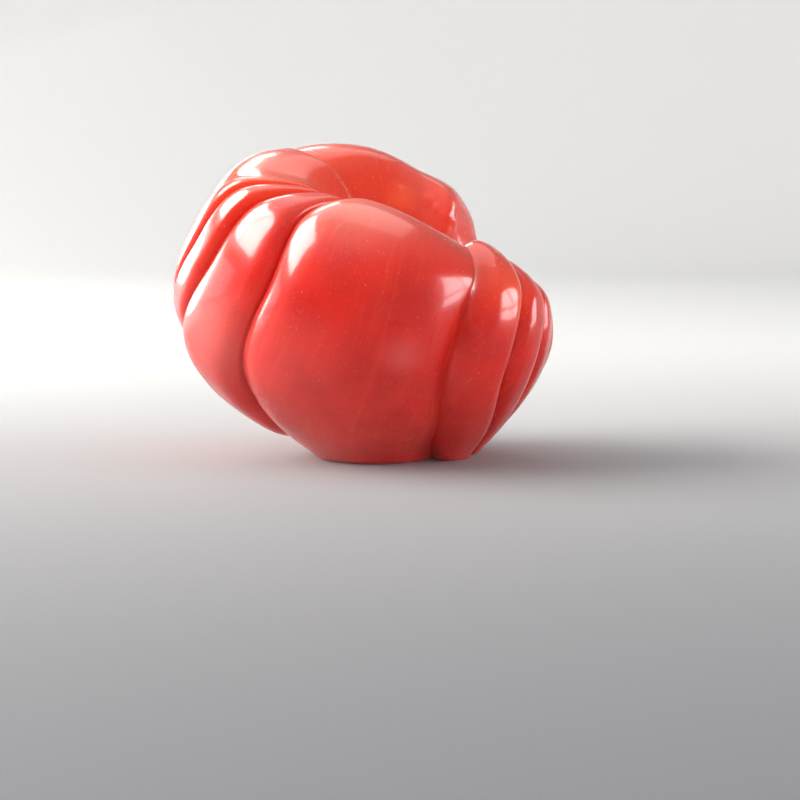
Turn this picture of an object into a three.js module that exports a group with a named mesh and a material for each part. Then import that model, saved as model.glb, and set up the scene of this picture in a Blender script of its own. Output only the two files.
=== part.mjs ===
// One large pleated tomato, in mm. +Z is up, the flat spot it rests on is z = 0, and the front is toward -Y.
// The skin is one closed surface. A meridian runs from the stem hollow over the crest to the blossom end, and the
// lobes between the creases swell out of it. The fruit is then laid over on its side a little, as a heavy one lies.
import * as THREE from "three";

const RED = 0xc63026;
const deg = THREE.MathUtils.degToRad;
const lerp = THREE.MathUtils.lerp;

// Rings of the plain body in the fruit's own frame: half width to the sides, half width to front and back, height
// along the fruit's axis, and how far the ring's middle is moved to the side and to the back.
const RINGS = [
  { side: 0, deep: 0, height: 10, moveSide: 6, moveBack: 0 }, // floor of the stem hollow
  { side: 8, deep: 4, height: 10.5, moveSide: 6, moveBack: 0 }, // rim of the stem scar
  { side: 13.5, deep: 7.5, height: 16, moveSide: 6, moveBack: 0 }, // wall of the hollow
  { side: 20, deep: 12.5, height: 28, moveSide: 6, moveBack: 0 }, // mouth of the hollow
  { side: 30, deep: 22, height: 37, moveSide: 3, moveBack: 0 }, // crest
  { side: 46, deep: 38.5, height: 31, moveSide: 0.5, moveBack: 0 }, // shoulder
  { side: 53.5, deep: 48, height: 10, moveSide: 1, moveBack: 0 }, // equator
  { side: 53, deep: 45, height: -16, moveSide: -1, moveBack: 4 }, // flank
  { side: 37, deep: 30, height: -36, moveSide: 5, moveBack: 8 }, // underside
  { side: 10, deep: 8, height: -41, moveSide: 4, moveBack: 9 }, // round the blossom scar
  { side: 0, deep: 0, height: -40, moveSide: 4, moveBack: 9 }, // blossom scar
];
const LAST_RING = RINGS.length - 1;

// How the crest departs from level and from an even oval.
const CREST = {
  ring: 4.2, // where along the meridian it acts most
  reach: 1.6, // in rings
  saddle: 8, // lower at the two sides than at front and back
  lean: 3, // higher towards leanAt and lower across from it
  leanAt: deg(140),
  skew: 0.12, // oval drawn out along leanAt
  dip: 8, // low place where the ribs run in
  dipAt: deg(22),
  dipPower: 8, // higher is narrower
};

// Each lobe starts at a crease. Longitudes run from the right (0) round the back (90) and the left (180) to the
// front (270), and every row gives its value at the crest, the equator, the flank and the underside. Overlap says
// where a lobe is steep: 1 at its start, over the lobe before it, and -1 at its end, over the lobe after it.
const LOBES = [
  {
    name: "rib 1", from: [326, 318, 329, 341], crease: [5, 4.5, 3, 1.5],
    swell: [2.5, 1.3, 1, 0], overlap: -0.5,
  },
  {
    name: "rib 2", from: [343, 334, 341, 347], crease: [3, 2.6, 1.5, 0.5],
    swell: [1.5, 0.6, 0.5, 0], overlap: -0.5,
  },
  {
    name: "rib 3", from: [356, 347, 352, 357], crease: [2.5, 2.4, 1.5, 0.5],
    swell: [0.6, 0.4, 0, 0], overlap: -0.5,
  },
  {
    name: "rib 4", from: [368, 360, 363, 368], crease: [2, 2.4, 1.5, 0.5],
    swell: [0, 1, 0.5, 0], overlap: -0.4,
  },
  {
    name: "rib 5", from: [376, 374, 378, 380], crease: [2, 2.4, 1.5, 0.5],
    swell: [-0.6, 1, 0.5, 0], overlap: -0.3,
  },
  {
    name: "back right", from: [392, 392, 396, 398], crease: [5, 6, 3.4, 1.5],
    swell: [0.8, 0.6, 1, 0], overlap: 0.8,
  },
  {
    name: "back left", from: [503, 486, 476, 466], crease: [1.9, 1.1, 0.8, 0.5],
    swell: [-1, 0, 1, 0], overlap: 0.2,
  },
  {
    name: "left 1", from: [548, 538, 532, 528], crease: [0, 1, 0.6, 0.4],
    swell: [-0.3, 1, -0.8, 0], overlap: -0.4,
  },
  {
    name: "left 2", from: [553, 550, 547, 545], crease: [2.6, 2, 0.8, 0.4],
    swell: [0, 1, -0.4, 0], overlap: -0.6,
  },
  {
    name: "left 3", from: [566, 566, 569, 569], crease: [4.6, 3, 1.2, 0.8],
    swell: [0.4, 1.4, 4, 2.2], overlap: -0.6,
  },
  {
    name: "front", from: [588, 596, 600, 605], crease: [3.6, 2.2, 1.2, 3],
    swell: [2, 4.6, 3.4, 2], overlap: 0.8,
  },
  {
    name: "front right", from: [665, 657, 667, 684], crease: [-1, 2.6, 2.2, 1],
    swell: [4.4, 3.2, 2.4, 1], overlap: -0.7,
  },
];
// Rings at which those rows hold. Before and after them an amount fades to nothing, as the creases do at the scars.
const ROW_RINGS = [4, 6, 7.3, 8.6];
const FADE_IN_RING = 0.6;
const FADE_OUT_RING = 9.9;

// Shallow hollows down the far side, below the crest.
const HOLLOWS = [
  { at: [400, 404, 402, 400], depth: [3.8, 5.8, 1, 0], halfWidth: deg(13) },
  { at: [446, 444, 444, 444], depth: [3, 1.2, 0, 0], halfWidth: deg(20) },
  { at: [420, 421, 420, 420], depth: [0, 1.5, 2, 1], halfWidth: deg(5) },
  { at: [446, 444, 441, 438], depth: [0, 1.4, 2.6, 1.4], halfWidth: deg(6) },
  { at: [505, 500, 497, 494], depth: [0, 0.8, 2, 1.2], halfWidth: deg(6) },
];

// A lobe's cross-section is a dome. On its steep side it stands out over its neighbour.
const GENTLE = { power: 2, root: 1 };
const STEEP = { power: 5.4, root: 2.5 };
const LEAST_COLUMNS = 3.4;
const DEGREES_PER_COLUMN = 5.2;
const COLUMN_CROWDING = 0.7; // 0 spaces a lobe's columns evenly, 1 crowds them at its creases
const RING_STEPS = 52;

// How the fruit lies: its top comes toward the viewer and then leans to the right.
const PITCH = deg(18);
const ROLL = deg(17);

// The flat spot: everything below it is pressed flat, and the skin sags a little toward it on the left.
const SEAT = { depth: 44.6, sag: 2.2, sagX: -9, sagY: 1, sagReach: 16, round: 3 };
const UNDER_SIDE = -20; // only skin lower than this can sag

function smooth(x) {
  return THREE.MathUtils.smoothstep(x, 0, 1);
}

// A value carried smoothly through the places at which it is given.
function through(places, values, s) {
  if (s <= places[0]) return values[0];
  for (let k = 1; k < places.length; k++)
    if (s <= places[k])
      return lerp(values[k - 1], values[k], smooth((s - places[k - 1]) / (places[k] - places[k - 1])));
  return values[values.length - 1];
}

function amount(row, s) {
  return through([FADE_IN_RING, ...ROW_RINGS, FADE_OUT_RING], [0, ...row, 0], s);
}

function longitude(row, s) {
  return deg(through(ROW_RINGS, row, s));
}

// One of a ring's sizes at any place along the meridian, by a smooth curve through the rings. Past either end the
// meridian goes on over the pole to the other side, so its half widths change sign there.
function ringValue(key, s) {
  const flips = key === "side" || key === "deep" ? -1 : 1;
  const at = (i) => {
    if (i < 0) return flips * RINGS[-i][key];
    if (i > LAST_RING) return flips * RINGS[2 * LAST_RING - i][key];
    return RINGS[i][key];
  };
  const i = Math.min(Math.floor(s), LAST_RING - 1);
  const t = s - i;
  const t2 = t * t;
  const t3 = t2 * t;
  const leave = (at(i + 1) - at(i - 1)) / 2;
  const arrive = (at(i + 2) - at(i)) / 2;
  return (
    (2 * t3 - 3 * t2 + 1) * at(i) + (t3 - 2 * t2 + t) * leave + (3 * t2 - 2 * t3) * at(i + 1) + (t3 - t2) * arrive
  );
}

// The plain body without its lobes.
function bodyPoint(phi, s) {
  const near = Math.exp(-(((s - CREST.ring) / CREST.reach) ** 2));
  const lift =
    CREST.lean * Math.cos(phi - CREST.leanAt) -
    CREST.saddle * Math.cos(phi) ** 2 -
    CREST.dip * Math.max(Math.cos(phi - CREST.dipAt), 0) ** CREST.dipPower;
  const draw = 1 + CREST.skew * Math.cos(2 * (phi - CREST.leanAt)) * near;
  return new THREE.Vector3(
    ringValue("moveSide", s) + ringValue("side", s) * draw * Math.cos(phi),
    ringValue("moveBack", s) + ringValue("deep", s) * draw * Math.sin(phi),
    ringValue("height", s) + lift * near,
  );
}

// Outward direction of the plain body, by small steps along it.
function bodyNormal(phi, s) {
  const step = 1e-3;
  const down = bodyPoint(phi, Math.min(s + step, LAST_RING)).sub(bodyPoint(phi, Math.max(s - step, 0)));
  const round = bodyPoint(phi + step, s).sub(bodyPoint(phi - step, s));
  return down.cross(round).normalize();
}

// A point of the skin: lobe number, place across that lobe from -1 to 1, and place along the meridian.
function skinPoint(lobe, across, s) {
  const here = LOBES[lobe];
  const last = lobe === LOBES.length - 1;
  const next = LOBES[last ? 0 : lobe + 1];
  const share = (across + 1) / 2;
  const start = longitude(here.from, s);
  const end = longitude(next.from, s) + (last ? 2 * Math.PI : 0);
  const phi = lerp(start, end, share);
  const crease = lerp(amount(here.crease, s), amount(next.crease, s), smooth(share));
  const steep = (1 - here.overlap * Math.sign(across)) / 2;
  const power = lerp(GENTLE.power, STEEP.power, steep);
  const root = lerp(GENTLE.root, STEEP.root, steep);
  const full = 1 - Math.abs(across) ** power;
  const dome = full ** (1 / root);
  let push = amount(here.swell, s) * full - (1 - dome) * crease;
  for (const hollow of HOLLOWS) {
    const turn = Math.atan2(Math.sin(phi - longitude(hollow.at, s)), Math.cos(phi - longitude(hollow.at, s)));
    push -= amount(hollow.depth, s) * Math.exp(-((turn / hollow.halfWidth) ** 2));
  }
  return bodyPoint(phi, s).addScaledVector(bodyNormal(phi, s), push);
}

// Lays the fruit over and presses its flat spot.
function settle(point) {
  point.applyAxisAngle(new THREE.Vector3(1, 0, 0), PITCH).applyAxisAngle(new THREE.Vector3(0, 1, 0), ROLL);
  const under = point.z < UNDER_SIDE;
  point.z += SEAT.depth;
  if (under) {
    const far = Math.hypot(point.x - SEAT.sagX, point.y - SEAT.sagY) / SEAT.sagReach;
    point.z -= SEAT.sag * Math.exp(-far * far);
  }
  if (point.z <= 0) point.z = 0;
  else if (point.z < SEAT.round) point.z *= smooth(point.z / SEAT.round);
  return point;
}

// All columns of the skin, lobe by lobe, closer together at the creases.
function columns() {
  const list = [];
  LOBES.forEach((lobe, number) => {
    const last = number === LOBES.length - 1;
    const degreesWide = (last ? LOBES[0].from[1] + 360 : LOBES[number + 1].from[1]) - lobe.from[1];
    const count = Math.round(LEAST_COLUMNS + degreesWide / DEGREES_PER_COLUMN);
    for (let k = 0; k < count; k++) {
      const even = (2 * k) / count - 1;
      list.push({ lobe: number, across: lerp(even, Math.sin((even * Math.PI) / 2), COLUMN_CROWDING) });
    }
  });
  return list;
}

function tomatoGeometry() {
  const across = columns();
  const wide = across.length;
  const rows = RING_STEPS - 1;
  const points = [];
  for (let i = 1; i <= rows; i++)
    for (const column of across)
      points.push(settle(skinPoint(column.lobe, column.across, (LAST_RING * i) / RING_STEPS)));
  const stem = points.push(settle(bodyPoint(0, 0))) - 1;
  const blossom = points.push(settle(bodyPoint(0, LAST_RING))) - 1;

  const faces = [];
  for (let k = 0; k < wide; k++) {
    const beside = (k + 1) % wide;
    faces.push(stem, k, beside);
    for (let i = 0; i + 1 < rows; i++) {
      const upper = i * wide;
      const lower = upper + wide;
      faces.push(upper + k, lower + beside, upper + beside, upper + k, lower + k, lower + beside);
    }
    faces.push(blossom, (rows - 1) * wide + beside, (rows - 1) * wide + k);
  }
  const geometry = new THREE.BufferGeometry().setFromPoints(points);
  geometry.setIndex(faces);
  geometry.computeVertexNormals();
  return geometry;
}

const tomato = new THREE.Mesh(
  tomatoGeometry(),
  new THREE.MeshStandardMaterial({ color: RED, roughness: 0.25, metalness: 0 }),
);
tomato.name = "tomato";

const part = new THREE.Group();
part.name = "pleated_tomato";
part.add(tomato);

export default part;
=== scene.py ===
"""One large pleated tomato, ripe and glossy, at rest on a pale studio floor."""

import logging
import math
from dataclasses import dataclass
from enum import Enum, IntEnum
from typing import Any, Optional, Sequence

import bpy
import numpy as np
from mathutils import Matrix, Vector, noise


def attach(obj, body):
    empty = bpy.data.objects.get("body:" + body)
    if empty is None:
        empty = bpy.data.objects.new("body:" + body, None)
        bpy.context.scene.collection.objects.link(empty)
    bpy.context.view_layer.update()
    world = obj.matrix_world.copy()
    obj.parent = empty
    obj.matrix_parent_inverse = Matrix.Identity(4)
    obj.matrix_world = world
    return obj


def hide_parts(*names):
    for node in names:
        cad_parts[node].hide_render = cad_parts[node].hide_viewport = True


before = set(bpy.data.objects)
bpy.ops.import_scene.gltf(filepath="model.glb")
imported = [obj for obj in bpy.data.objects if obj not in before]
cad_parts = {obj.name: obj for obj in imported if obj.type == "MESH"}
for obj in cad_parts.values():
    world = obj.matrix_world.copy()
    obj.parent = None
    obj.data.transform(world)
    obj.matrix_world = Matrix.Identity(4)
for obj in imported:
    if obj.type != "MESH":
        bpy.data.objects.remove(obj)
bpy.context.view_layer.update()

LOG = logging.getLogger("tomato")
MM = 0.001
SQUARE_CM_PER_SQUARE_M = 1e4
IMAGE_SIDE = 800

Row = tuple[float, float, float, float]


def linear(colour: str, alpha: float = 1.0) -> tuple[float, float, float, float]:
    """Turns an sRGB hex colour to linear.

    Args:
        colour: six hex digits after a hash.
        alpha: opacity, passed on unchanged.

    Returns:
        Linear red, green and blue, and alpha.
    """
    parts = [int(colour[k:k + 2], 16) / 255 for k in (1, 3, 5)]
    red, green, blue = (c / 12.92 if c <= 0.04045 else ((c + 0.055) / 1.055) ** 2.4 for c in parts)
    return red, green, blue, alpha


def smooth(x: np.ndarray) -> np.ndarray:
    """Eases from 0 to 1 as x goes from 0 to 1."""
    x = np.clip(x, 0.0, 1.0)
    return x * x * (3 - 2 * x)


def add_node(
    tree: bpy.types.NodeTree, kind: str, inputs: Optional[dict[Any, Any]] = None, **settings: Any
) -> bpy.types.Node:
    """Adds a node, sets it up and links it.

    Args:
        tree: the node tree that it goes in.
        kind: the node's type name.
        inputs: for each input's name or number, a value or the output socket to link to it.
        **settings: the node's own properties.

    Returns:
        The new node.
    """
    node = tree.nodes.new(kind)
    for name, value in settings.items():
        setattr(node, name, value)
    for key, value in (inputs or {}).items():
        if isinstance(value, bpy.types.NodeSocket):
            tree.links.new(value, node.inputs[key])
        else:
            node.inputs[key].default_value = value
    return node


def new_material(name: str) -> bpy.types.Material:
    """Makes a material whose node tree is empty.

    Args:
        name: the material's name.

    Returns:
        The new material.
    """
    made = bpy.data.materials.new(name)
    made.use_nodes = True
    made.node_tree.nodes.clear()
    return made


def add_object(name: str, data: bpy.types.ID) -> bpy.types.Object:
    """Adds an object to the scene, at the origin.

    Args:
        name: the object's name.
        data: its mesh, light or camera.

    Returns:
        The new object.
    """
    made = bpy.data.objects.new(name, data)
    bpy.context.scene.collection.objects.link(made)
    return made


class Mix(IntEnum):
    """Socket numbers of a Mix node set to colours."""

    FACTOR = 0
    FIRST = 6
    SECOND = 7
    RESULT = 2


class Span(IntEnum):
    """Socket numbers of a Map Range node."""

    VALUE = 0
    FROM_MIN = 1
    FROM_MAX = 2
    TO_MIN = 3
    TO_MAX = 4


class Mark(str, Enum):
    """Attributes that the skin's mesh carries for its material and for what grows on it."""

    GROWTH = "growth"
    MERIDIAN = "meridian"
    FOLD = "fold"
    SCRATCH = "scratch"
    SEAM = "seam"
    CORKY = "corky"
    DOWN = "down"


@dataclass(frozen=True)
class Ring:
    """One ring of the plain body, in mm in the fruit's own frame."""

    side: float
    deep: float
    height: float
    move_side: float
    move_back: float


@dataclass(frozen=True)
class Lobe:
    """A lobe between two creases. Each row holds at the crest, the equator, the flank and the underside."""

    name: str
    start: Row
    crease: Row
    swell: Row
    overlap: float


@dataclass(frozen=True)
class Hollow:
    """A shallow hollow down the far side, in degrees and mm."""

    at: Row
    depth: Row
    half_width: float


@dataclass(frozen=True)
class FruitForm:
    """The formula of the whole fruit, in mm.

    A plain body of rings, lobes that swell out of it, hollows on the far side, and how the fruit lies.
    """

    rings: tuple[Ring, ...] = (
        Ring(0, 0, 10, 6, 0),
        Ring(8, 4, 10.5, 6, 0),
        Ring(13.5, 7.5, 16, 6, 0),
        Ring(20, 12.5, 28, 6, 0),
        Ring(30, 22, 37, 3, 0),
        Ring(46, 38.5, 31, 0.5, 0),
        Ring(53.5, 48, 10, 1, 0),
        Ring(53, 45, -16, -1, 4),
        Ring(37, 30, -36, 5, 8),
        Ring(10, 8, -41, 4, 9),
        Ring(0, 0, -40, 4, 9),
    )
    crest_ring: float = 4.2
    crest_reach: float = 1.6
    saddle: float = 8
    lean: float = 3
    lean_at: float = math.radians(140)
    skew: float = 0.12
    dip: float = 8
    dip_at: float = math.radians(22)
    dip_power: float = 8
    lobes: tuple[Lobe, ...] = (
        Lobe("rib 1", (326, 318, 329, 341), (5, 4.5, 3, 1.5), (2.5, 1.3, 1, 0), -0.5),
        Lobe("rib 2", (343, 334, 341, 347), (3, 2.6, 1.5, 0.5), (1.5, 0.6, 0.5, 0), -0.5),
        Lobe("rib 3", (356, 347, 352, 357), (2.5, 2.4, 1.5, 0.5), (0.6, 0.4, 0, 0), -0.5),
        Lobe("rib 4", (368, 360, 363, 368), (2, 2.4, 1.5, 0.5), (0, 1, 0.5, 0), -0.4),
        Lobe("rib 5", (376, 374, 378, 380), (2, 2.4, 1.5, 0.5), (-0.6, 1, 0.5, 0), -0.3),
        Lobe("back right", (392, 392, 396, 398), (5, 6, 3.4, 1.5), (0.8, 0.6, 1, 0), 0.8),
        Lobe("back left", (503, 486, 476, 466), (1.9, 1.1, 0.8, 0.5), (-1, 0, 1, 0), 0.2),
        Lobe("left 1", (548, 538, 532, 528), (0, 1, 0.6, 0.4), (-0.3, 1, -0.8, 0), -0.4),
        Lobe("left 2", (553, 550, 547, 545), (2.6, 2, 0.8, 0.4), (0, 1, -0.4, 0), -0.6),
        Lobe("left 3", (566, 566, 569, 569), (4.6, 3, 1.2, 0.8), (0.4, 1.4, 4, 2.2), -0.6),
        Lobe("front", (588, 596, 600, 605), (3.6, 2.2, 1.2, 3), (2, 4.6, 3.4, 2), 0.8),
        Lobe("front right", (665, 657, 667, 684), (-1, 2.6, 2.2, 1), (4.4, 3.2, 2.4, 1), -0.7),
    )
    row_rings: tuple[float, ...] = (4, 6, 7.3, 8.6)
    fade_in_ring: float = 0.6
    fade_out_ring: float = 9.9
    hollows: tuple[Hollow, ...] = (
        Hollow((400, 404, 402, 400), (3.8, 5.8, 1, 0), 13),
        Hollow((446, 444, 444, 444), (3, 1.2, 0, 0), 20),
        Hollow((420, 421, 420, 420), (0, 1.5, 2, 1), 5),
        Hollow((446, 444, 441, 438), (0, 1.4, 2.6, 1.4), 6),
        Hollow((505, 500, 497, 494), (0, 0.8, 2, 1.2), 6),
    )
    dome_power: tuple[float, float] = (2, 5.4)
    dome_root: tuple[float, float] = (1, 2.5)
    deep_crease: float = 2.5
    least_columns: float = 3.4
    degrees_per_column: float = 5.2
    column_crowding: float = 0.7
    pitch: float = math.radians(18)
    roll: float = math.radians(17)
    seat_depth: float = 44.6
    sag: float = 2.2
    sag_at: tuple[float, float] = (-9, 1)
    sag_reach: float = 16
    seat_round: float = 3
    under_side: float = -20
    normal_step: float = 1e-3

    @property
    def last_ring(self) -> int:
        """The blossom end's place along the meridian."""
        return len(self.rings) - 1

    def columns(self, times: int) -> tuple[np.ndarray, np.ndarray]:
        """Columns of the skin, more in a broad lobe, and closer together at the creases.

        Args:
            times: how many times as many as the plain solid has.

        Returns:
            Each column's lobe number, and its place across that lobe from -1 to 1.
        """
        lobe, across = [], []
        for number, here in enumerate(self.lobes):
            last = number == len(self.lobes) - 1
            wide = self.lobes[0 if last else number + 1].start[1] + (360 if last else 0) - here.start[1]
            count = times * math.floor(self.least_columns + wide / self.degrees_per_column + 0.5)
            even = 2 * np.arange(count) / count - 1
            across.append(even + (np.sin(even * math.pi / 2) - even) * self.column_crowding)
            lobe.append(np.full(count, number))
        return np.concatenate(lobe), np.concatenate(across)

    def through(self, places: Sequence[float], values: Sequence[float], s: np.ndarray) -> np.ndarray:
        """Carries a value smoothly through the places at which it is given.

        Args:
            places: rising places along the meridian.
            values: the value at each.
            s: where it is wanted.

        Returns:
            The value at each s.
        """
        out = np.where(s <= places[0], float(values[0]), float(values[-1]))
        for k in range(1, len(places)):
            share = smooth((s - places[k - 1]) / (places[k] - places[k - 1]))
            inside = (s > places[k - 1]) & (s <= places[k])
            out = np.where(inside, values[k - 1] + (values[k] - values[k - 1]) * share, out)
        return out

    def amount(self, row: Row, s: np.ndarray) -> np.ndarray:
        """A lobe's amount in mm along the meridian, which fades to nothing at the two scars."""
        return self.through((self.fade_in_ring, *self.row_rings, self.fade_out_ring), (0, *row, 0), s)

    def longitude(self, row: Row, s: np.ndarray) -> np.ndarray:
        """A crease's longitude in radians along the meridian."""
        return np.radians(self.through(self.row_rings, row, s))

    def body(self, phi: np.ndarray, s: np.ndarray) -> np.ndarray:
        """The plain body without its lobes.

        Args:
            phi: longitudes in radians.
            s: places along the meridian, in rings.

        Returns:
            Points in mm in the fruit's own frame.
        """
        rows = np.array([(r.side, r.deep, r.height, r.move_side, r.move_back) for r in self.rings], float)
        over_pole = np.array([-1, -1, 1, 1, 1])
        rows = np.vstack([rows[1] * over_pole, rows, rows[-2] * over_pole])
        i = np.clip(np.floor(s).astype(int), 0, self.last_ring - 1)
        t = (s - i)[..., None]
        before, here, there, after = (rows[i + k] for k in range(4))
        ring = (
            (2 * t**3 - 3 * t**2 + 1) * here
            + (t**3 - 2 * t**2 + t) * (there - before) / 2
            + (3 * t**2 - 2 * t**3) * there
            + (t**3 - t**2) * (after - here) / 2
        )
        near = np.exp(-(((s - self.crest_ring) / self.crest_reach) ** 2))
        lift = (
            self.lean * np.cos(phi - self.lean_at)
            - self.saddle * np.cos(phi) ** 2
            - self.dip * np.maximum(np.cos(phi - self.dip_at), 0) ** self.dip_power
        )
        draw = 1 + self.skew * np.cos(2 * (phi - self.lean_at)) * near
        side, deep, height, move_side, move_back = np.moveaxis(ring, -1, 0)
        return np.stack([
            move_side + side * draw * np.cos(phi),
            move_back + deep * draw * np.sin(phi),
            height + lift * near,
        ], -1)

    def normal(self, phi: np.ndarray, s: np.ndarray) -> np.ndarray:
        """Outward direction of the plain body, by small steps along it.

        Args:
            phi: longitudes in radians.
            s: places along the meridian, in rings.

        Returns:
            Unit vectors.
        """
        step = self.normal_step
        lower, upper = np.minimum(s + step, self.last_ring), np.maximum(s - step, 0)
        down = self.body(phi, lower) - self.body(phi, upper)
        across = self.body(phi + step, s) - self.body(phi - step, s)
        out = np.cross(down, across)
        return out / np.linalg.norm(out, axis=-1, keepdims=True)

    def place(
        self, lobe: np.ndarray, across: np.ndarray, s: np.ndarray
    ) -> tuple[np.ndarray, np.ndarray, np.ndarray]:
        """Works out where the skin is for places in the lobes.

        Args:
            lobe: lobe numbers.
            across: places across each lobe, from -1 to 1.
            s: places along the meridian, in rings.

        Returns:
            Longitudes in radians, how far the skin stands out of the plain body in mm, and how deep in a
            crease it is from 0 to 1.
        """
        count = len(self.lobes)
        phi = np.zeros_like(s)
        push = np.zeros_like(s)
        fold = np.zeros_like(s)
        share = (across + 1) / 2
        for number, here in enumerate(self.lobes):
            after = self.lobes[(number + 1) % count]
            full_turn = 2 * math.pi if number == count - 1 else 0.0
            start = self.longitude(here.start, s)
            end = self.longitude(after.start, s) + full_turn
            first, last = self.amount(here.crease, s), self.amount(after.crease, s)
            crease = first + (last - first) * smooth(share)
            mine = lobe == number
            steep = (1 - here.overlap * np.sign(across)) / 2
            power = self.dome_power[0] + (self.dome_power[1] - self.dome_power[0]) * steep
            root = self.dome_root[0] + (self.dome_root[1] - self.dome_root[0]) * steep
            full = 1 - np.abs(across) ** power
            dome = full ** (1 / root)
            phi = np.where(mine, start + (end - start) * share, phi)
            push = np.where(mine, self.amount(here.swell, s) * full - (1 - dome) * crease, push)
            fold = np.where(mine, (1 - dome) * np.clip(crease / self.deep_crease, 0, 1), fold)
        for hollow in self.hollows:
            turn = phi - self.longitude(hollow.at, s)
            turn = np.arctan2(np.sin(turn), np.cos(turn)) / math.radians(hollow.half_width)
            push = push - self.amount(hollow.depth, s) * np.exp(-turn**2)
        return phi, push, fold

    def settle(self, points: np.ndarray) -> np.ndarray:
        """Lays the fruit over and presses its flat spot.

        Args:
            points: mm in the fruit's own frame.

        Returns:
            The points in mm in the part's frame.
        """
        lay = Matrix.Rotation(self.roll, 3, "Y") @ Matrix.Rotation(self.pitch, 3, "X")
        points = points @ np.array(lay).T
        x, y, z = np.moveaxis(points, -1, 0)
        far = np.hypot(x - self.sag_at[0], y - self.sag_at[1]) / self.sag_reach
        height = z + self.seat_depth - np.where(z < self.under_side, self.sag * np.exp(-far * far), 0)
        eased = height * smooth(height / self.seat_round)
        height = np.where(height <= 0, 0, np.where(height < self.seat_round, eased, height))
        return np.stack([x, y, height], -1)


@dataclass(frozen=True)
class Bump:
    """A small bump of the skin: longitude in degrees, ring, and radius and height in mm."""

    longitude: float
    ring: float
    radius: float
    height: float


@dataclass(frozen=True)
class SkinRelief:
    """The small unevenness of a real skin: soft dents, a few bumps and the rough scars at both ends.

    Sizes and heights are in mm, places and reaches along the meridian in rings.
    """

    dent_sizes: tuple[float, ...] = (16, 7)
    dent_heights: tuple[float, ...] = (0.22, 0.06)
    rings_per_radian: float = 8
    scar_ring: float = 1.1
    scar_core: float = 0.55
    scar_rim: float = 0.45
    scar_rise: float = 0.3
    scar_ridges: int = 17
    ridge_waves: int = 3
    ridge_wander: float = 2.5
    scar_height: float = 0.45
    blossom_ring: float = 9.72
    blossom_rise: float = 0.12
    blossom_end: float = 9.9
    blossom_fall: float = 0.08
    blossom_height: float = 0.5
    blossom_points: int = 5
    blossom_levels: tuple[float, float] = (0.6, 0.4)
    bumps: tuple[Bump, ...] = (
        Bump(106, 3.32, 1.5, 0.55),
        Bump(80, 3.3, 1.7, 0.6),
        Bump(71, 3.27, 1.3, 0.5),
        Bump(61, 3.3, 1.6, 0.6),
        Bump(50, 3.6, 1.6, 0.55),
    )

    def heights(self, points: np.ndarray, phi: np.ndarray, s: np.ndarray) -> np.ndarray:
        """How far the skin stands out at each point.

        Args:
            points: mm in the fruit's own frame.
            phi: longitudes in radians.
            s: places along the meridian, in rings.

        Returns:
            Heights in mm.
        """
        flat = points.reshape(-1, 3)
        total = np.zeros(len(flat))
        for size, height in zip(self.dent_sizes, self.dent_heights):
            total += height * np.array([noise.noise(Vector(p) / size) for p in flat])
        total = total.reshape(s.shape)
        for bump in self.bumps:
            turned = np.angle(np.exp(1j * (phi - math.radians(bump.longitude))))
            middle = flat[np.hypot(turned * self.rings_per_radian, s - bump.ring).argmin()]
            away = np.linalg.norm(points - middle, axis=-1) / bump.radius
            total += bump.height * np.exp(-away * away)
        scar = 1 - smooth((s - self.scar_core * self.scar_ring) / (self.scar_rim * self.scar_ring))
        wander = self.ridge_wander * np.sin(self.ridge_waves * phi)
        ridges = 0.5 + 0.5 * np.sin(self.scar_ridges * phi + wander)
        total += scar * self.scar_height * ridges * smooth(s / self.scar_rise)
        blossom = smooth((s - self.blossom_ring) / self.blossom_rise)
        blossom *= 1 - smooth((s - self.blossom_end) / self.blossom_fall)
        mean, wave = self.blossom_levels
        return total + blossom * self.blossom_height * (mean + wave * np.sin(self.blossom_points * phi))


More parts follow.
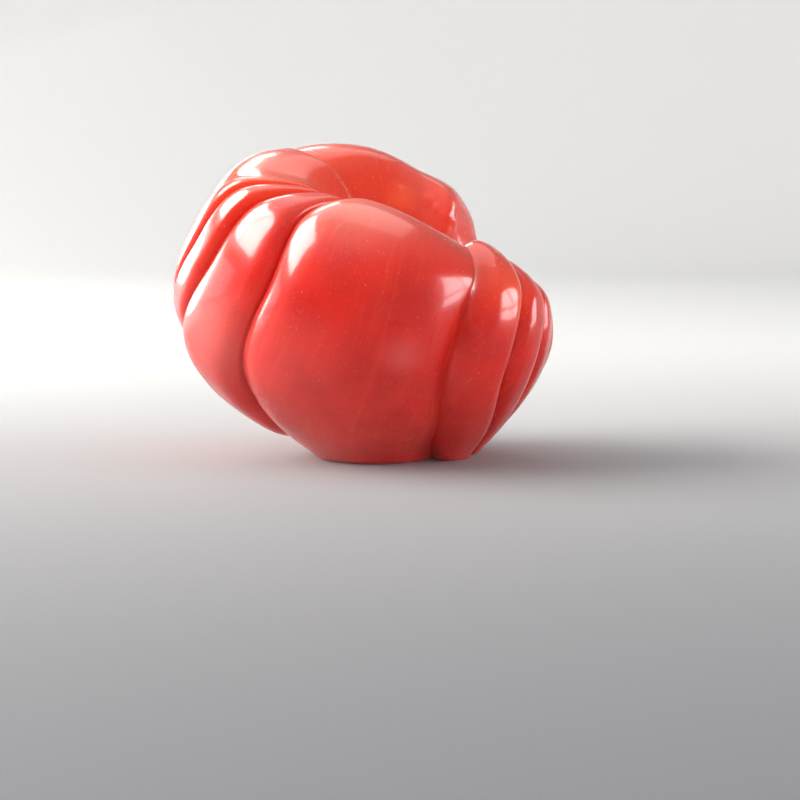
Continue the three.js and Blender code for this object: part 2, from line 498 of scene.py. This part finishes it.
@dataclass
class TomatoBody:
    """The fruit's skin as one fine closed mesh, with the marks that its material reads.

    Growth, seam and crack sizes are in mm, places and reaches along the meridian in rings.
    """

    form: FruitForm
    relief: SkinRelief
    columns_times: int = 4
    ring_steps: int = 208
    growth_radius: float = 46
    growth_length: float = 14
    shoulder_reach: float = 0.8
    seam_lobe: int = 6
    seam_width: float = 0.9
    seam_start: float = 1.8
    seam_rise: float = 0.6
    seam_end: float = 2.8
    seam_fall: float = 1.4
    scratched_degrees: float = 250
    scratched_half_width: float = 11
    cork_everywhere: float = 0.12
    cork_on_shoulder: float = 0.4
    cork_in_crease: float = 0.5
    cracked_ring: float = 4
    cracked_reach: float = 1.5

    def grid(self) -> tuple[np.ndarray, np.ndarray, np.ndarray]:
        """Lays out the skin's points, all but the two poles, in rows round the fruit.

        Returns:
            Lobe numbers, places across the lobes and places along the meridian.
        """
        lobe, across = self.form.columns(self.columns_times)
        s = np.linspace(0, self.form.last_ring, self.ring_steps + 1)[1:-1]
        shape = (len(s), len(lobe))
        return (
            np.broadcast_to(lobe, shape),
            np.broadcast_to(across, shape),
            np.broadcast_to(s[:, None], shape),
        )

    def mesh(self) -> bpy.types.Mesh:
        """Builds the mesh in metres, with its marks.

        Returns:
            A closed mesh, faces outward, smooth shaded.
        """
        lobe, across, s = self.grid()
        phi, push, fold = self.form.place(lobe, across, s)
        body, out = self.form.body(phi, s), self.form.normal(phi, s)
        push = push + self.relief.heights(body, phi, s)
        grown = body + push[..., None] * out
        stem = np.zeros(1)
        blossom = stem + self.form.last_ring
        ends = np.vstack([self.form.body(stem, stem), self.form.body(stem, blossom)])
        points = self.form.settle(np.vstack([grown.reshape(-1, 3), ends])) * MM
        rows, wide = s.shape
        mesh = bpy.data.meshes.new("tomato_skin")
        mesh.from_pydata(points.tolist(), [], self.faces(rows, wide))
        mesh.validate()
        mesh.shade_smooth()
        self.write_marks(mesh, points, phi, s, fold)
        return mesh

    def faces(self, rows: int, wide: int) -> list[tuple[int, ...]]:
        """Faces of a grid of rows that closes on itself, with a fan at each pole.

        Args:
            rows: how many rows there are.
            wide: how many points each has.

        Returns:
            Each face's point numbers. The two poles come after the rows' points.
        """
        stem, blossom = rows * wide, rows * wide + 1
        faces: list[tuple[int, ...]] = []
        for k in range(wide):
            beside = (k + 1) % wide
            faces.append((stem, k, beside))
            faces.append((blossom, (rows - 1) * wide + beside, (rows - 1) * wide + k))
            for i in range(rows - 1):
                upper = i * wide
                lower = upper + wide
                faces.append((upper + k, lower + k, lower + beside, upper + beside))
        return faces

    def write_marks(
        self, mesh: bpy.types.Mesh, points: np.ndarray, phi: np.ndarray, s: np.ndarray, fold: np.ndarray
    ) -> None:
        """Stores on the mesh what its material and the cork read.

        Args:
            mesh: the skin's mesh.
            points: its points in metres, the two poles last.
            phi: longitudes of all points but the poles, in radians.
            s: their places along the meridian.
            fold: how deep in a crease they are.
        """
        last = self.form.last_ring
        growth = np.stack([
            self.growth_radius * np.cos(phi),
            self.growth_radius * np.sin(phi),
            self.growth_length * s / last,
        ], -1) * MM
        growth = np.vstack([growth.reshape(-1, 3), [(0, 0, 0)], [(0, 0, self.growth_length * MM)]])
        along = np.gradient(points[:-2].reshape(*s.shape, 3), axis=0)
        down = along / np.maximum(np.linalg.norm(along, axis=-1, keepdims=True), 1e-12)
        down = np.vstack([down.reshape(-1, 3), [(1, 0, 0)], [(1, 0, 0)]])
        shoulder = np.exp(-(((s - self.form.crest_ring) / self.shoulder_reach) ** 2))
        turn = np.degrees(phi) % 360
        seam_turn = phi - self.form.longitude(self.form.lobes[self.seam_lobe].start, s)
        from_axis = np.linalg.norm(growth[:-2].reshape(*s.shape, 3), axis=-1) / MM
        seam_mm = np.arctan2(np.sin(seam_turn), np.cos(seam_turn)) * from_axis
        seam = np.exp(-((seam_mm / self.seam_width) ** 2))
        seam *= smooth((s - self.seam_start) / self.seam_rise)
        seam *= 1 - smooth((s - self.seam_end) / self.seam_fall)
        scratch_turn = (turn - self.scratched_degrees) / self.scratched_half_width
        scratch = shoulder * np.exp(-(scratch_turn**2))
        cracked = fold * np.exp(-(((s - self.cracked_ring) / self.cracked_reach) ** 2))
        corky = self.cork_everywhere + shoulder * self.cork_on_shoulder + self.cork_in_crease * cracked
        values = {
            Mark.MERIDIAN: np.append(s / last, [0, 1]),
            Mark.FOLD: np.append(fold, [0, 0]),
            Mark.SCRATCH: np.append(scratch, [0, 0]),
            Mark.SEAM: np.append(seam, [0, 0]),
            Mark.CORKY: np.append(corky, [0, 0]),
        }
        for mark, value in values.items():
            stored = mesh.attributes.new(mark.value, "FLOAT", "POINT")
            stored.data.foreach_set("value", value.ravel())
        for mark, vector in ((Mark.GROWTH, growth), (Mark.DOWN, down)):
            stored = mesh.attributes.new(mark.value, "FLOAT_VECTOR", "POINT")
            stored.data.foreach_set("vector", vector.ravel())

    def build(self, finish: "TomatoSkin") -> bpy.types.Object:
        """Makes the skin, dresses it and lets it stand for the plain solid.

        Args:
            finish: the skin's material.

        Returns:
            The finished piece.
        """
        mesh = self.mesh()
        mesh.materials.append(finish.material())
        piece = add_object("tomato_skin", mesh)
        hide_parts("tomato")
        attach(piece, "root")
        return piece


@dataclass
class CorkFlecks:
    """Tiny raised flecks of cork in the skin, most of them on the shoulders and in the creases."""

    per_square_cm: float = 2.6
    length_mm: float = 0.34
    least_scale: tuple[float, float, float] = (0.35, 0.3, 0.3)
    most_scale: tuple[float, float, float] = (1.3, 0.7, 0.6)
    fineness: int = 2
    seed: int = 11

    def tree(self, cork: bpy.types.Material) -> bpy.types.NodeTree:
        """Geometry nodes that strew flecks over the skin, lying along its growth.

        Args:
            cork: the flecks' material.

        Returns:
            The node tree.
        """
        tree = bpy.data.node_groups.new("cork_flecks", "GeometryNodeTree")
        tree.is_modifier = True
        tree.interface.new_socket("Skin", in_out="INPUT", socket_type="NodeSocketGeometry")
        for name, kind in (("Per square metre", "Float"), ("Half length", "Float"), ("Seed", "Int")):
            tree.interface.new_socket(name, in_out="INPUT", socket_type=f"NodeSocket{kind}")
        tree.interface.new_socket("Flecks", in_out="OUTPUT", socket_type="NodeSocketGeometry")
        given = add_node(tree, "NodeGroupInput")
        corky = add_node(
            tree, "GeometryNodeInputNamedAttribute", {"Name": Mark.CORKY.value}, data_type="FLOAT"
        )
        density = add_node(
            tree,
            "ShaderNodeMath",
            {0: given.outputs["Per square metre"], 1: corky.outputs[0]},
            operation="MULTIPLY",
        )
        points = add_node(
            tree,
            "GeometryNodeDistributePointsOnFaces",
            {"Mesh": given.outputs["Skin"], "Density": density.outputs[0], "Seed": given.outputs["Seed"]},
            distribute_method="RANDOM",
        )
        down = add_node(
            tree, "GeometryNodeInputNamedAttribute", {"Name": Mark.DOWN.value}, data_type="FLOAT_VECTOR"
        )
        lying = add_node(
            tree,
            "FunctionNodeAlignRotationToVector",
            {"Rotation": points.outputs["Rotation"], "Vector": down.outputs[0]},
            axis="X",
            pivot_axis="Z",
        )
        size = add_node(
            tree,
            "FunctionNodeRandomValue",
            {"Min": self.least_scale, "Max": self.most_scale, "Seed": given.outputs["Seed"]},
            data_type="FLOAT_VECTOR",
        )
        fleck = add_node(
            tree,
            "GeometryNodeMeshIcoSphere",
            {"Radius": given.outputs["Half length"], "Subdivisions": self.fineness},
        )
        placed = add_node(
            tree,
            "GeometryNodeInstanceOnPoints",
            {
                "Points": points.outputs["Points"],
                "Instance": fleck.outputs["Mesh"],
                "Rotation": lying.outputs[0],
                "Scale": size.outputs[0],
            },
        )
        real = add_node(tree, "GeometryNodeRealizeInstances", {0: placed.outputs[0]})
        dressed = add_node(tree, "GeometryNodeSetMaterial", {"Geometry": real.outputs[0], "Material": cork})
        add_node(tree, "NodeGroupOutput", {"Flecks": dressed.outputs[0]})
        return tree

    def build(self, skin: bpy.types.Object, finish: "DryCork") -> bpy.types.Object:
        """Strews the flecks over the skin and keeps them as a plain mesh.

        Args:
            skin: the finished skin.
            finish: the flecks' material.

        Returns:
            The finished piece.
        """
        carrier = add_object("fleck_carrier", skin.data.copy())
        tree = self.tree(finish.material())
        modifier = carrier.modifiers.new("flecks", "NODES")
        modifier.node_group = tree
        given = {
            "Per square metre": self.per_square_cm * SQUARE_CM_PER_SQUARE_M,
            "Half length": self.length_mm * MM / 2,
            "Seed": self.seed,
        }
        for item in tree.interface.items_tree:
            if item.name in given:
                modifier[item.identifier] = given[item.name]
        ready = bpy.context.evaluated_depsgraph_get()
        mesh = bpy.data.meshes.new_from_object(carrier.evaluated_get(ready), depsgraph=ready)
        carrier.modifiers.remove(modifier)
        bpy.data.objects.remove(carrier)
        mesh.name = "cork_flecks"
        piece = add_object("cork_flecks", mesh)
        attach(piece, "root")
        return piece


@dataclass(frozen=True)
class Patch:
    """A soft round patch of another tint on the skin, in mm in the part's frame."""

    centre: tuple[float, float, float]
    radius: float
    strength: float


@dataclass(frozen=True)
class TomatoSkin:
    """Ripe tomato skin: thin, waxy and see-through over wet flesh.

    It gives the eye a deep red that glows toward orange where light passes through a lobe, with sharp window
    highlights in a thin clear coat and a faint pale bloom at the edges. Part of the orange glow and some pale
    sheen are painted into the colour as patches.
    """

    ripe: str = "#D5281E"
    deep: str = "#BA1A15"
    orange: str = "#F0552A"
    unripe: str = "#D9A23E"
    pale: str = "#F6B48E"
    cork: str = "#B98E5E"
    cork_dark: str = "#6F4A2C"
    sheen_pink: str = "#FFDCD6"
    mottle_mm: float = 15
    streak_mm: float = 1.5
    speck_mm: float = 0.7
    hairline_mm: float = 0.42
    peel_mm: float = 1.1
    dull_band: tuple[float, float] = (0.3, 0.7)
    rough_band: tuple[float, float] = (0.2, 0.28)
    crease_rougher: float = 0.08
    scar_rougher: float = 0.6
    # Orange patches: partly the skin's own orange, partly painted glow where light shines through the upper
    # lobes and falls on them from above.
    orange_tints_and_glows: tuple[Patch, ...] = (
        Patch((-30, -5, 82), 28, 0.8),
        Patch((0, -35, 76), 22, 0.7),
        Patch((38, -36, 49), 12, 0.9),
        Patch((11, 4, 76), 7, 0.8),
        Patch((-12, 16, 88), 22, 0.55),
        Patch((-46, -26, 62), 16, 0.35),
    )
    # Painted pale sheen: pale pink patches that stand in for the milky reflection of bright surroundings on
    # the lower left, the top, the front and the back.
    painted_sheens: tuple[Patch, ...] = (
        Patch((-45, -27, 38), 24, 0.15),
        Patch((-24, -46, 28), 26, 0.04),
        Patch((-2, -38, 73), 22, 0.13),
        Patch((24, 14, 82), 22, 0.12),
        Patch((11, -52, 33), 9, 0.07),
        Patch((27, -46, 22), 8, 0.07),
    )

    def within(
        self, tree: bpy.types.NodeTree, place: bpy.types.NodeSocket, patches: tuple[Patch, ...]
    ) -> bpy.types.NodeSocket:
        """How far a place lies within some patches, by the strongest of them.

        Args:
            tree: the material's node tree.
            place: object coordinates.
            patches: the patches.

        Returns:
            A factor from 0 to 1.
        """
        strongest = None
        for patch in patches:
            centre = tuple(c * MM for c in patch.centre)
            away = add_node(tree, "ShaderNodeVectorMath", {0: place, 1: centre}, operation="DISTANCE")
            near = add_node(
                tree,
                "ShaderNodeMapRange",
                {
                    Span.VALUE: away.outputs["Value"],
                    Span.FROM_MIN: patch.radius * MM,
                    Span.FROM_MAX: 0.0,
                    Span.TO_MAX: patch.strength,
                },
                interpolation_type="SMOOTHSTEP",
            ).outputs[0]
            if strongest is None:
                strongest = near
            else:
                strongest = add_node(
                    tree, "ShaderNodeMath", {0: strongest, 1: near}, operation="MAXIMUM"
                ).outputs[0]
        return strongest

    def cues(
        self, tree: bpy.types.NodeTree, place: bpy.types.NodeSocket
    ) -> dict[str, bpy.types.NodeSocket]:
        """Everything that the skin's colour, gloss and relief go by.

        Args:
            tree: the material's node tree.
            place: object coordinates.

        Returns:
            For each cue's name, how much of it there is.
        """
        marks = {mark: add_node(tree, "ShaderNodeAttribute", attribute_name=mark.value) for mark in Mark}
        growth = marks[Mark.GROWTH].outputs["Vector"]
        meridian, fold, scratch, seam = (
            marks[mark].outputs["Fac"] for mark in (Mark.MERIDIAN, Mark.FOLD, Mark.SCRATCH, Mark.SEAM)
        )
        cues = {"fold": fold}
        for name, vector, size, detail in (
            ("mottle", place, self.mottle_mm, 3.0),
            ("growth", growth, self.streak_mm, 2.0),
            ("hair", growth, self.hairline_mm, 2.0),
            ("grain", place, self.speck_mm, 3.0),
            ("peel", place, self.peel_mm, 1.0),
        ):
            cues[name] = add_node(
                tree, "ShaderNodeTexNoise", {"Vector": vector, "Scale": 1 / (size * MM), "Detail": detail}
            ).outputs["Fac"]
        for name, source, nothing_at, all_at, most in (
            ("deep", cues["mottle"], 0.4, 0.68, 0.6),
            ("streak", cues["growth"], 0.5, 0.8, 0.2),
            ("shoulder", meridian, 0.58, 0.36, 0.3),
            ("hollow", meridian, 0.3, 0.12, 0.9),
            ("speck", cues["grain"], 0.62, 0.8, 0.3),
            ("thin", cues["hair"], 0.62, 0.7, 0.3),
            ("broken", cues["grain"], 0.35, 0.6, 0.75),
            ("stem", meridian, 0.122, 0.098, 1.0),
            ("blossom", meridian, 0.972, 0.982, 1.0),
        ):
            cues[name] = add_node(
                tree,
                "ShaderNodeMapRange",
                {Span.VALUE: source, Span.FROM_MIN: nothing_at, Span.FROM_MAX: all_at, Span.TO_MAX: most},
                interpolation_type="SMOOTHSTEP",
            ).outputs[0]
        for name, first, second, operation in (
            ("unripe", cues["hollow"], cues["mottle"], "MULTIPLY"),
            ("hairline", cues["thin"], scratch, "MULTIPLY"),
            ("seamline", cues["broken"], seam, "MULTIPLY"),
            ("scar", cues["stem"], cues["blossom"], "MAXIMUM"),
        ):
            cues[name] = add_node(
                tree, "ShaderNodeMath", {0: first, 1: second}, operation=operation
            ).outputs[0]
        return cues

    def colour(
        self,
        tree: bpy.types.NodeTree,
        place: bpy.types.NodeSocket,
        cues: dict[str, bpy.types.NodeSocket],
    ) -> bpy.types.NodeSocket:
        """Lays the skin's tints over one another, the scars' cork last.

        Args:
            tree: the material's node tree.
            place: object coordinates.
            cues: the skin's cues.

        Returns:
            The colour.
        """
        bark = add_node(
            tree,
            "ShaderNodeMix",
            {Mix.FACTOR: cues["grain"], Mix.FIRST: linear(self.cork_dark), Mix.SECOND: linear(self.cork)},
            data_type="RGBA",
        )
        under = linear(self.ripe)
        for factor, tint in (
            (cues["deep"], linear(self.deep)),
            (cues["shoulder"], linear(self.orange)),
            # Orange patches, partly the skin's own tint and partly painted glow of light through and onto the
            # upper lobes.
            (self.within(tree, place, self.orange_tints_and_glows), linear(self.orange)),
            # Painted pale sheen, a painted reflection of bright surroundings.
            (self.within(tree, place, self.painted_sheens), linear(self.sheen_pink)),
            (cues["streak"], linear(self.orange)),
            (cues["unripe"], linear(self.unripe)),
            (cues["speck"], linear(self.pale)),
            (cues["hairline"], linear(self.pale)),
            (cues["seamline"], linear(self.pale)),
            (cues["scar"], bark.outputs[Mix.RESULT]),
        ):
            under = add_node(
                tree,
                "ShaderNodeMix",
                {Mix.FACTOR: factor, Mix.FIRST: under, Mix.SECOND: tint},
                data_type="RGBA",
            ).outputs[Mix.RESULT]
        return under

    def roughness(
        self, tree: bpy.types.NodeTree, cues: dict[str, bpy.types.NodeSocket]
    ) -> bpy.types.NodeSocket:
        """The skin's roughness: uneven all over, more in the creases and much more on the scars.

        Args:
            tree: the material's node tree.
            cues: the skin's cues.

        Returns:
            The roughness.
        """
        (dull_from, dull_to), (least_rough, most_rough) = self.dull_band, self.rough_band
        rough = add_node(
            tree,
            "ShaderNodeMapRange",
            {
                Span.VALUE: cues["mottle"],
                Span.FROM_MIN: dull_from,
                Span.FROM_MAX: dull_to,
                Span.TO_MIN: least_rough,
                Span.TO_MAX: most_rough,
            },
        ).outputs[0]
        for cue, rougher in (("fold", self.crease_rougher), ("scar", self.scar_rougher)):
            rough = add_node(
                tree, "ShaderNodeMath", {0: cues[cue], 1: rougher, 2: rough}, operation="MULTIPLY_ADD"
            ).outputs[0]
        return rough

    def relief(
        self, tree: bpy.types.NodeTree, cues: dict[str, bpy.types.NodeSocket]
    ) -> bpy.types.NodeSocket:
        """The finest relief, too small for the mesh.

        Args:
            tree: the material's node tree.
            cues: the skin's cues.

        Returns:
            The normal.
        """
        raised = add_node(
            tree, "ShaderNodeMath", {0: cues["scar"], 1: cues["grain"]}, operation="MULTIPLY"
        ).outputs[0]
        inputs: dict[str, Any] = {"Strength": 1.0}
        for height, depth_mm in (
            (cues["peel"], 0.008),
            (cues["growth"], 0.02),
            (cues["hairline"], 0.12),
            (cues["seamline"], 0.15),
            (raised, 0.3),
        ):
            inputs |= {"Distance": depth_mm * MM, "Height": height}
            inputs["Normal"] = add_node(tree, "ShaderNodeBump", inputs).outputs[0]
        return inputs["Normal"]

    def material(self) -> bpy.types.Material:
        """Builds the material.

        Returns:
            The finished material.
        """
        made = new_material("ripe_tomato_skin")
        tree = made.node_tree
        place = add_node(tree, "ShaderNodeTexCoord").outputs["Object"]
        cues = self.cues(tree, place)
        shader = add_node(
            tree,
            "ShaderNodeBsdfPrincipled",
            {
                "Base Color": self.colour(tree, place, cues),
                "Roughness": self.roughness(tree, cues),
                "IOR": 1.38,
                "Normal": self.relief(tree, cues),
                "Subsurface Weight": 0.45,
                "Subsurface Radius": (1.0, 0.2, 0.1),
                "Subsurface Scale": 4 * MM,
                "Coat Weight": 0.45,
                "Coat Roughness": 0.07,
                "Coat IOR": 1.45,
                "Sheen Weight": 0.06,
                "Sheen Roughness": 0.4,
                "Sheen Tint": linear(self.sheen_pink),
            },
        )
        add_node(tree, "ShaderNodeOutputMaterial", {"Surface": shader.outputs[0]})
        return made


@dataclass(frozen=True)
class DryCork:
    """Dry cork that the skin heals its small splits with. It gives the eye pale matt flecks on the shine."""

    pale: str = "#F2C79E"
    dark: str = "#C98A5C"
    grain_mm: float = 0.5
    grain_band: tuple[float, float] = (0.3, 0.7)
    rough_band: tuple[float, float] = (0.45, 0.7)

    def material(self) -> bpy.types.Material:
        """Builds the material.

        Returns:
            The finished material.
        """
        made = new_material("dry_cork")
        tree = made.node_tree
        place = add_node(tree, "ShaderNodeTexCoord").outputs["Object"]
        grain = add_node(
            tree, "ShaderNodeTexNoise", {"Vector": place, "Scale": 1 / (self.grain_mm * MM), "Detail": 2.0}
        )
        colour = add_node(
            tree,
            "ShaderNodeMix",
            {Mix.FACTOR: grain.outputs["Fac"], Mix.FIRST: linear(self.dark), Mix.SECOND: linear(self.pale)},
            data_type="RGBA",
        )
        (grain_from, grain_to), (least_rough, most_rough) = self.grain_band, self.rough_band
        rough = add_node(
            tree,
            "ShaderNodeMapRange",
            {
                Span.VALUE: grain.outputs["Fac"],
                Span.FROM_MIN: grain_from,
                Span.FROM_MAX: grain_to,
                Span.TO_MIN: least_rough,
                Span.TO_MAX: most_rough,
            },
        )
        shader = add_node(
            tree,
            "ShaderNodeBsdfPrincipled",
            {"Base Color": colour.outputs[Mix.RESULT], "Roughness": rough.outputs[0]},
        )
        add_node(tree, "ShaderNodeOutputMaterial", {"Surface": shader.outputs[0]})
        return made


@dataclass(frozen=True)
class PaperSweep:
    """Matt paper of a studio sweep, nearly white behind the fruit and grey toward the viewer.

    It gives the eye an even pale ground, and the skin something darker to mirror at the front.
    """

    far: str = "#DADADA"
    near: str = "#6A6A6F"
    grey_from: float = 0.5
    grey_to: float = -0.4

    def material(self) -> bpy.types.Material:
        """Builds the material.

        Returns:
            The finished material.
        """
        made = new_material("studio_paper")
        tree = made.node_tree
        place = add_node(tree, "ShaderNodeTexCoord").outputs["Object"]
        depth = add_node(tree, "ShaderNodeSeparateXYZ", {0: place}).outputs["Y"]
        share = add_node(
            tree,
            "ShaderNodeMapRange",
            {Span.VALUE: depth, Span.FROM_MIN: self.grey_from, Span.FROM_MAX: self.grey_to},
            interpolation_type="SMOOTHSTEP",
        )
        colour = add_node(
            tree,
            "ShaderNodeMix",
            {Mix.FACTOR: share.outputs[0], Mix.FIRST: linear(self.far), Mix.SECOND: linear(self.near)},
            data_type="RGBA",
        )
        shader = add_node(
            tree, "ShaderNodeBsdfPrincipled", {"Base Color": colour.outputs[Mix.RESULT], "Roughness": 0.9}
        )
        add_node(tree, "ShaderNodeOutputMaterial", {"Surface": shader.outputs[0]})
        return made


class Gives(Enum):
    """What a light is there for: highlights on the skin, or the soft light that falls on everything."""

    SHINE = "shine"
    SOFT = "soft"


@dataclass(frozen=True)
class Window:
    """A soft light of one or a few panes, in degrees and metres.

    Azimuth 0 is toward the viewer and grows to the right.
    """

    name: str
    azimuth: float
    elevation: float
    distance: float
    width: float
    height: float
    radiance: float
    colour: str
    gives: Gives
    panes: tuple[int, int] = (1, 1)
    bar: float = 0.0

    def build(self, target: Vector) -> None:
        """Hangs the panes so that the window faces the target.

        Args:
            target: the point that it lights, in metres.
        """
        turn, lift = math.radians(self.azimuth), math.radians(self.elevation)
        away = Vector((math.sin(turn) * math.cos(lift), -math.cos(turn) * math.cos(lift), math.sin(lift)))
        facing = away.to_track_quat("Z", "Y")
        columns, rows = self.panes
        wide, high = self.width / columns, self.height / rows
        for column in range(columns):
            for row in range(rows):
                lamp = bpy.data.lights.new(f"{self.name}_{column}_{row}", "AREA")
                lamp.shape = "RECTANGLE"
                lamp.size, lamp.size_y = wide - self.bar, high - self.bar
                lamp.energy = self.radiance * math.pi * lamp.size * lamp.size_y
                lamp.color = linear(self.colour)[:3]
                pane = add_object(lamp.name, lamp)
                aside = (column + 0.5) * wide - self.width / 2
                above = (row + 0.5) * high - self.height / 2
                pane.location = target + away * self.distance + facing @ Vector((aside, above, 0))
                pane.rotation_euler = facing.to_euler()
                pane.visible_camera = False
                pane.visible_glossy = self.gives is Gives.SHINE
                pane.visible_diffuse = self.gives is Gives.SOFT


@dataclass
class Studio:
    """The pale sweep, the soft lights and the camera, none of them part of the fruit."""

    inner_radii: tuple[float, float] = (0.25, 0.8)
    floor_radius: float = 1.5
    bend_radius: float = 0.9
    bend_points: int = 17
    sides: int = 96
    sky: str = "#FFFFFF"
    sky_middle: tuple[float, float, float] = (0, 0, 1)
    sky_band: tuple[float, float] = (0.6, 0.97)
    sky_strengths: tuple[float, float] = (0.34, 0.7)
    target: Vector = Vector((0, 0, FruitForm.seat_depth * MM))
    target_pixel: tuple[float, float] = (364, 305)
    lens_mm: float = 85
    sensor_mm: float = 36
    distance: float = 0.552
    elevation: float = math.radians(3)
    clip: tuple[float, float] = (0.02, 20)
    windows: tuple[Window, ...] = (
        Window("left_window", -101, 47, 2.0, 1.9, 1.25, 20, "#FFFDF8", Gives.SHINE, (3, 1), 0.05),
        Window("low_left_window", -133, 9, 2.0, 1.3, 0.4, 10, "#FFFDF8", Gives.SHINE),
        Window("back_left_window", -166, 39, 2.0, 0.5, 0.28, 11, "#FFFDF8", Gives.SHINE),
        Window("left_card", -113, 14, 1.7, 1.7, 0.36, 2.6, "#F4F7FF", Gives.SHINE),
        Window("back_left_card", -152, 10, 2.1, 1.5, 0.8, 2.5, "#FFFFFF", Gives.SHINE),
        Window("right_window", 83, 7, 1.3, 0.84, 1.0, 11, "#FBFCFF", Gives.SHINE, (2, 2), 0.05),
        Window("top_card", 180, 65, 1.5, 1.2, 1.0, 1.2, "#FFFFFF", Gives.SHINE),
        Window("left_light", -92, 24, 2.0, 1.9, 1.4, 10.5, "#FFFDF8", Gives.SOFT),
        Window("right_light", 80, 4, 1.3, 0.84, 1.0, 4.2, "#FBFCFF", Gives.SOFT),
        Window("front_light", 14, 0, 1.5, 1.4, 0.8, 5.8, "#FFFFFF", Gives.SOFT),
    )

    def sweep(self) -> None:
        """A round floor whose edge bends up into a wall on every side."""
        bend = np.linspace(0, math.pi / 2, self.bend_points)
        radius = np.concatenate([self.inner_radii, self.floor_radius + self.bend_radius * np.sin(bend)])
        height = np.concatenate([[0] * len(self.inner_radii), self.bend_radius * (1 - np.cos(bend))])
        turn = 2 * math.pi * np.arange(self.sides) / self.sides
        points = [(0.0, 0.0, 0.0)]
        points += [(r * math.cos(a), r * math.sin(a), z) for r, z in zip(radius, height) for a in turn]
        faces: list[tuple[int, ...]] = [(0, 1 + k, 1 + (k + 1) % self.sides) for k in range(self.sides)]
        for i in range(len(radius) - 1):
            inner, outer = 1 + i * self.sides, 1 + (i + 1) * self.sides
            for k in range(self.sides):
                beside = (k + 1) % self.sides
                faces.append((inner + k, outer + k, outer + beside, inner + beside))
        mesh = bpy.data.meshes.new("studio_sweep")
        mesh.from_pydata(points, [], faces)
        mesh.shade_smooth()
        mesh.materials.append(PaperSweep().material())
        add_object("studio_sweep", mesh)

    def camera(self) -> None:
        """A camera at the photograph's height and angle, with the fruit's middle at its pixel there."""
        focal = IMAGE_SIDE * self.lens_mm / self.sensor_mm
        half = IMAGE_SIDE / 2
        tip = -(self.elevation + math.atan((half - self.target_pixel[1]) / focal))
        turn = -math.atan((self.target_pixel[0] - half) / focal)
        ahead = Vector((math.sin(turn) * math.cos(tip), math.cos(turn) * math.cos(tip), math.sin(tip)))
        lens = bpy.data.cameras.new("camera")
        lens.lens, lens.sensor_width = self.lens_mm, self.sensor_mm
        lens.clip_start, lens.clip_end = self.clip
        made = add_object("camera", lens)
        from_target = Vector((0, -math.cos(self.elevation), math.sin(self.elevation)))
        made.location = self.target + self.distance * from_target
        made.rotation_euler = ahead.to_track_quat("-Z", "Y").to_euler()
        bpy.context.scene.camera = made

    def light(self) -> None:
        """Hangs the soft boxes and an even sky over the sweep."""
        for window in self.windows:
            window.build(self.target)
        world = bpy.data.worlds.new("soft_sky")
        world.use_nodes = True
        tree = world.node_tree
        tree.nodes.clear()
        way = add_node(tree, "ShaderNodeTexCoord").outputs["Generated"]
        toward = add_node(tree, "ShaderNodeVectorMath", {0: way, 1: self.sky_middle}, operation="DOT_PRODUCT")
        (low, high), (dim, bright) = self.sky_band, self.sky_strengths
        strength = add_node(
            tree,
            "ShaderNodeMapRange",
            {
                Span.VALUE: toward.outputs["Value"],
                Span.FROM_MIN: low,
                Span.FROM_MAX: high,
                Span.TO_MIN: dim,
                Span.TO_MAX: bright,
            },
            interpolation_type="SMOOTHSTEP",
        )
        sky = add_node(
            tree, "ShaderNodeBackground", {"Color": linear(self.sky), "Strength": strength.outputs[0]}
        )
        add_node(tree, "ShaderNodeOutputWorld", {"Surface": sky.outputs[0]})
        bpy.context.scene.world = world
        bpy.context.scene.view_settings.view_transform = "Standard"

    def build(self) -> None:
        """Sets up the whole studio."""
        self.camera()
        self.sweep()
        self.light()


def report(piece: bpy.types.Object) -> None:
    """Logs a finished piece and its size.

    Args:
        piece: the piece.
    """
    corners = np.array([tuple(corner) for corner in piece.bound_box])
    size = (corners.max(axis=0) - corners.min(axis=0)) / MM
    triangles = sum(len(face.vertices) - 2 for face in piece.data.polygons)
    LOG.info("%s: %.1f by %.1f by %.1f mm, %d triangles", piece.name, *size, triangles)


def main() -> None:
    """Builds the studio and the fruit."""
    logging.basicConfig(level=logging.INFO, format="%(name)s: %(message)s")
    Studio().build()
    skin = TomatoBody(FruitForm(), SkinRelief()).build(TomatoSkin())
    report(skin)
    report(CorkFlecks().build(skin, DryCork()))


if __name__ == "__main__":
    main()
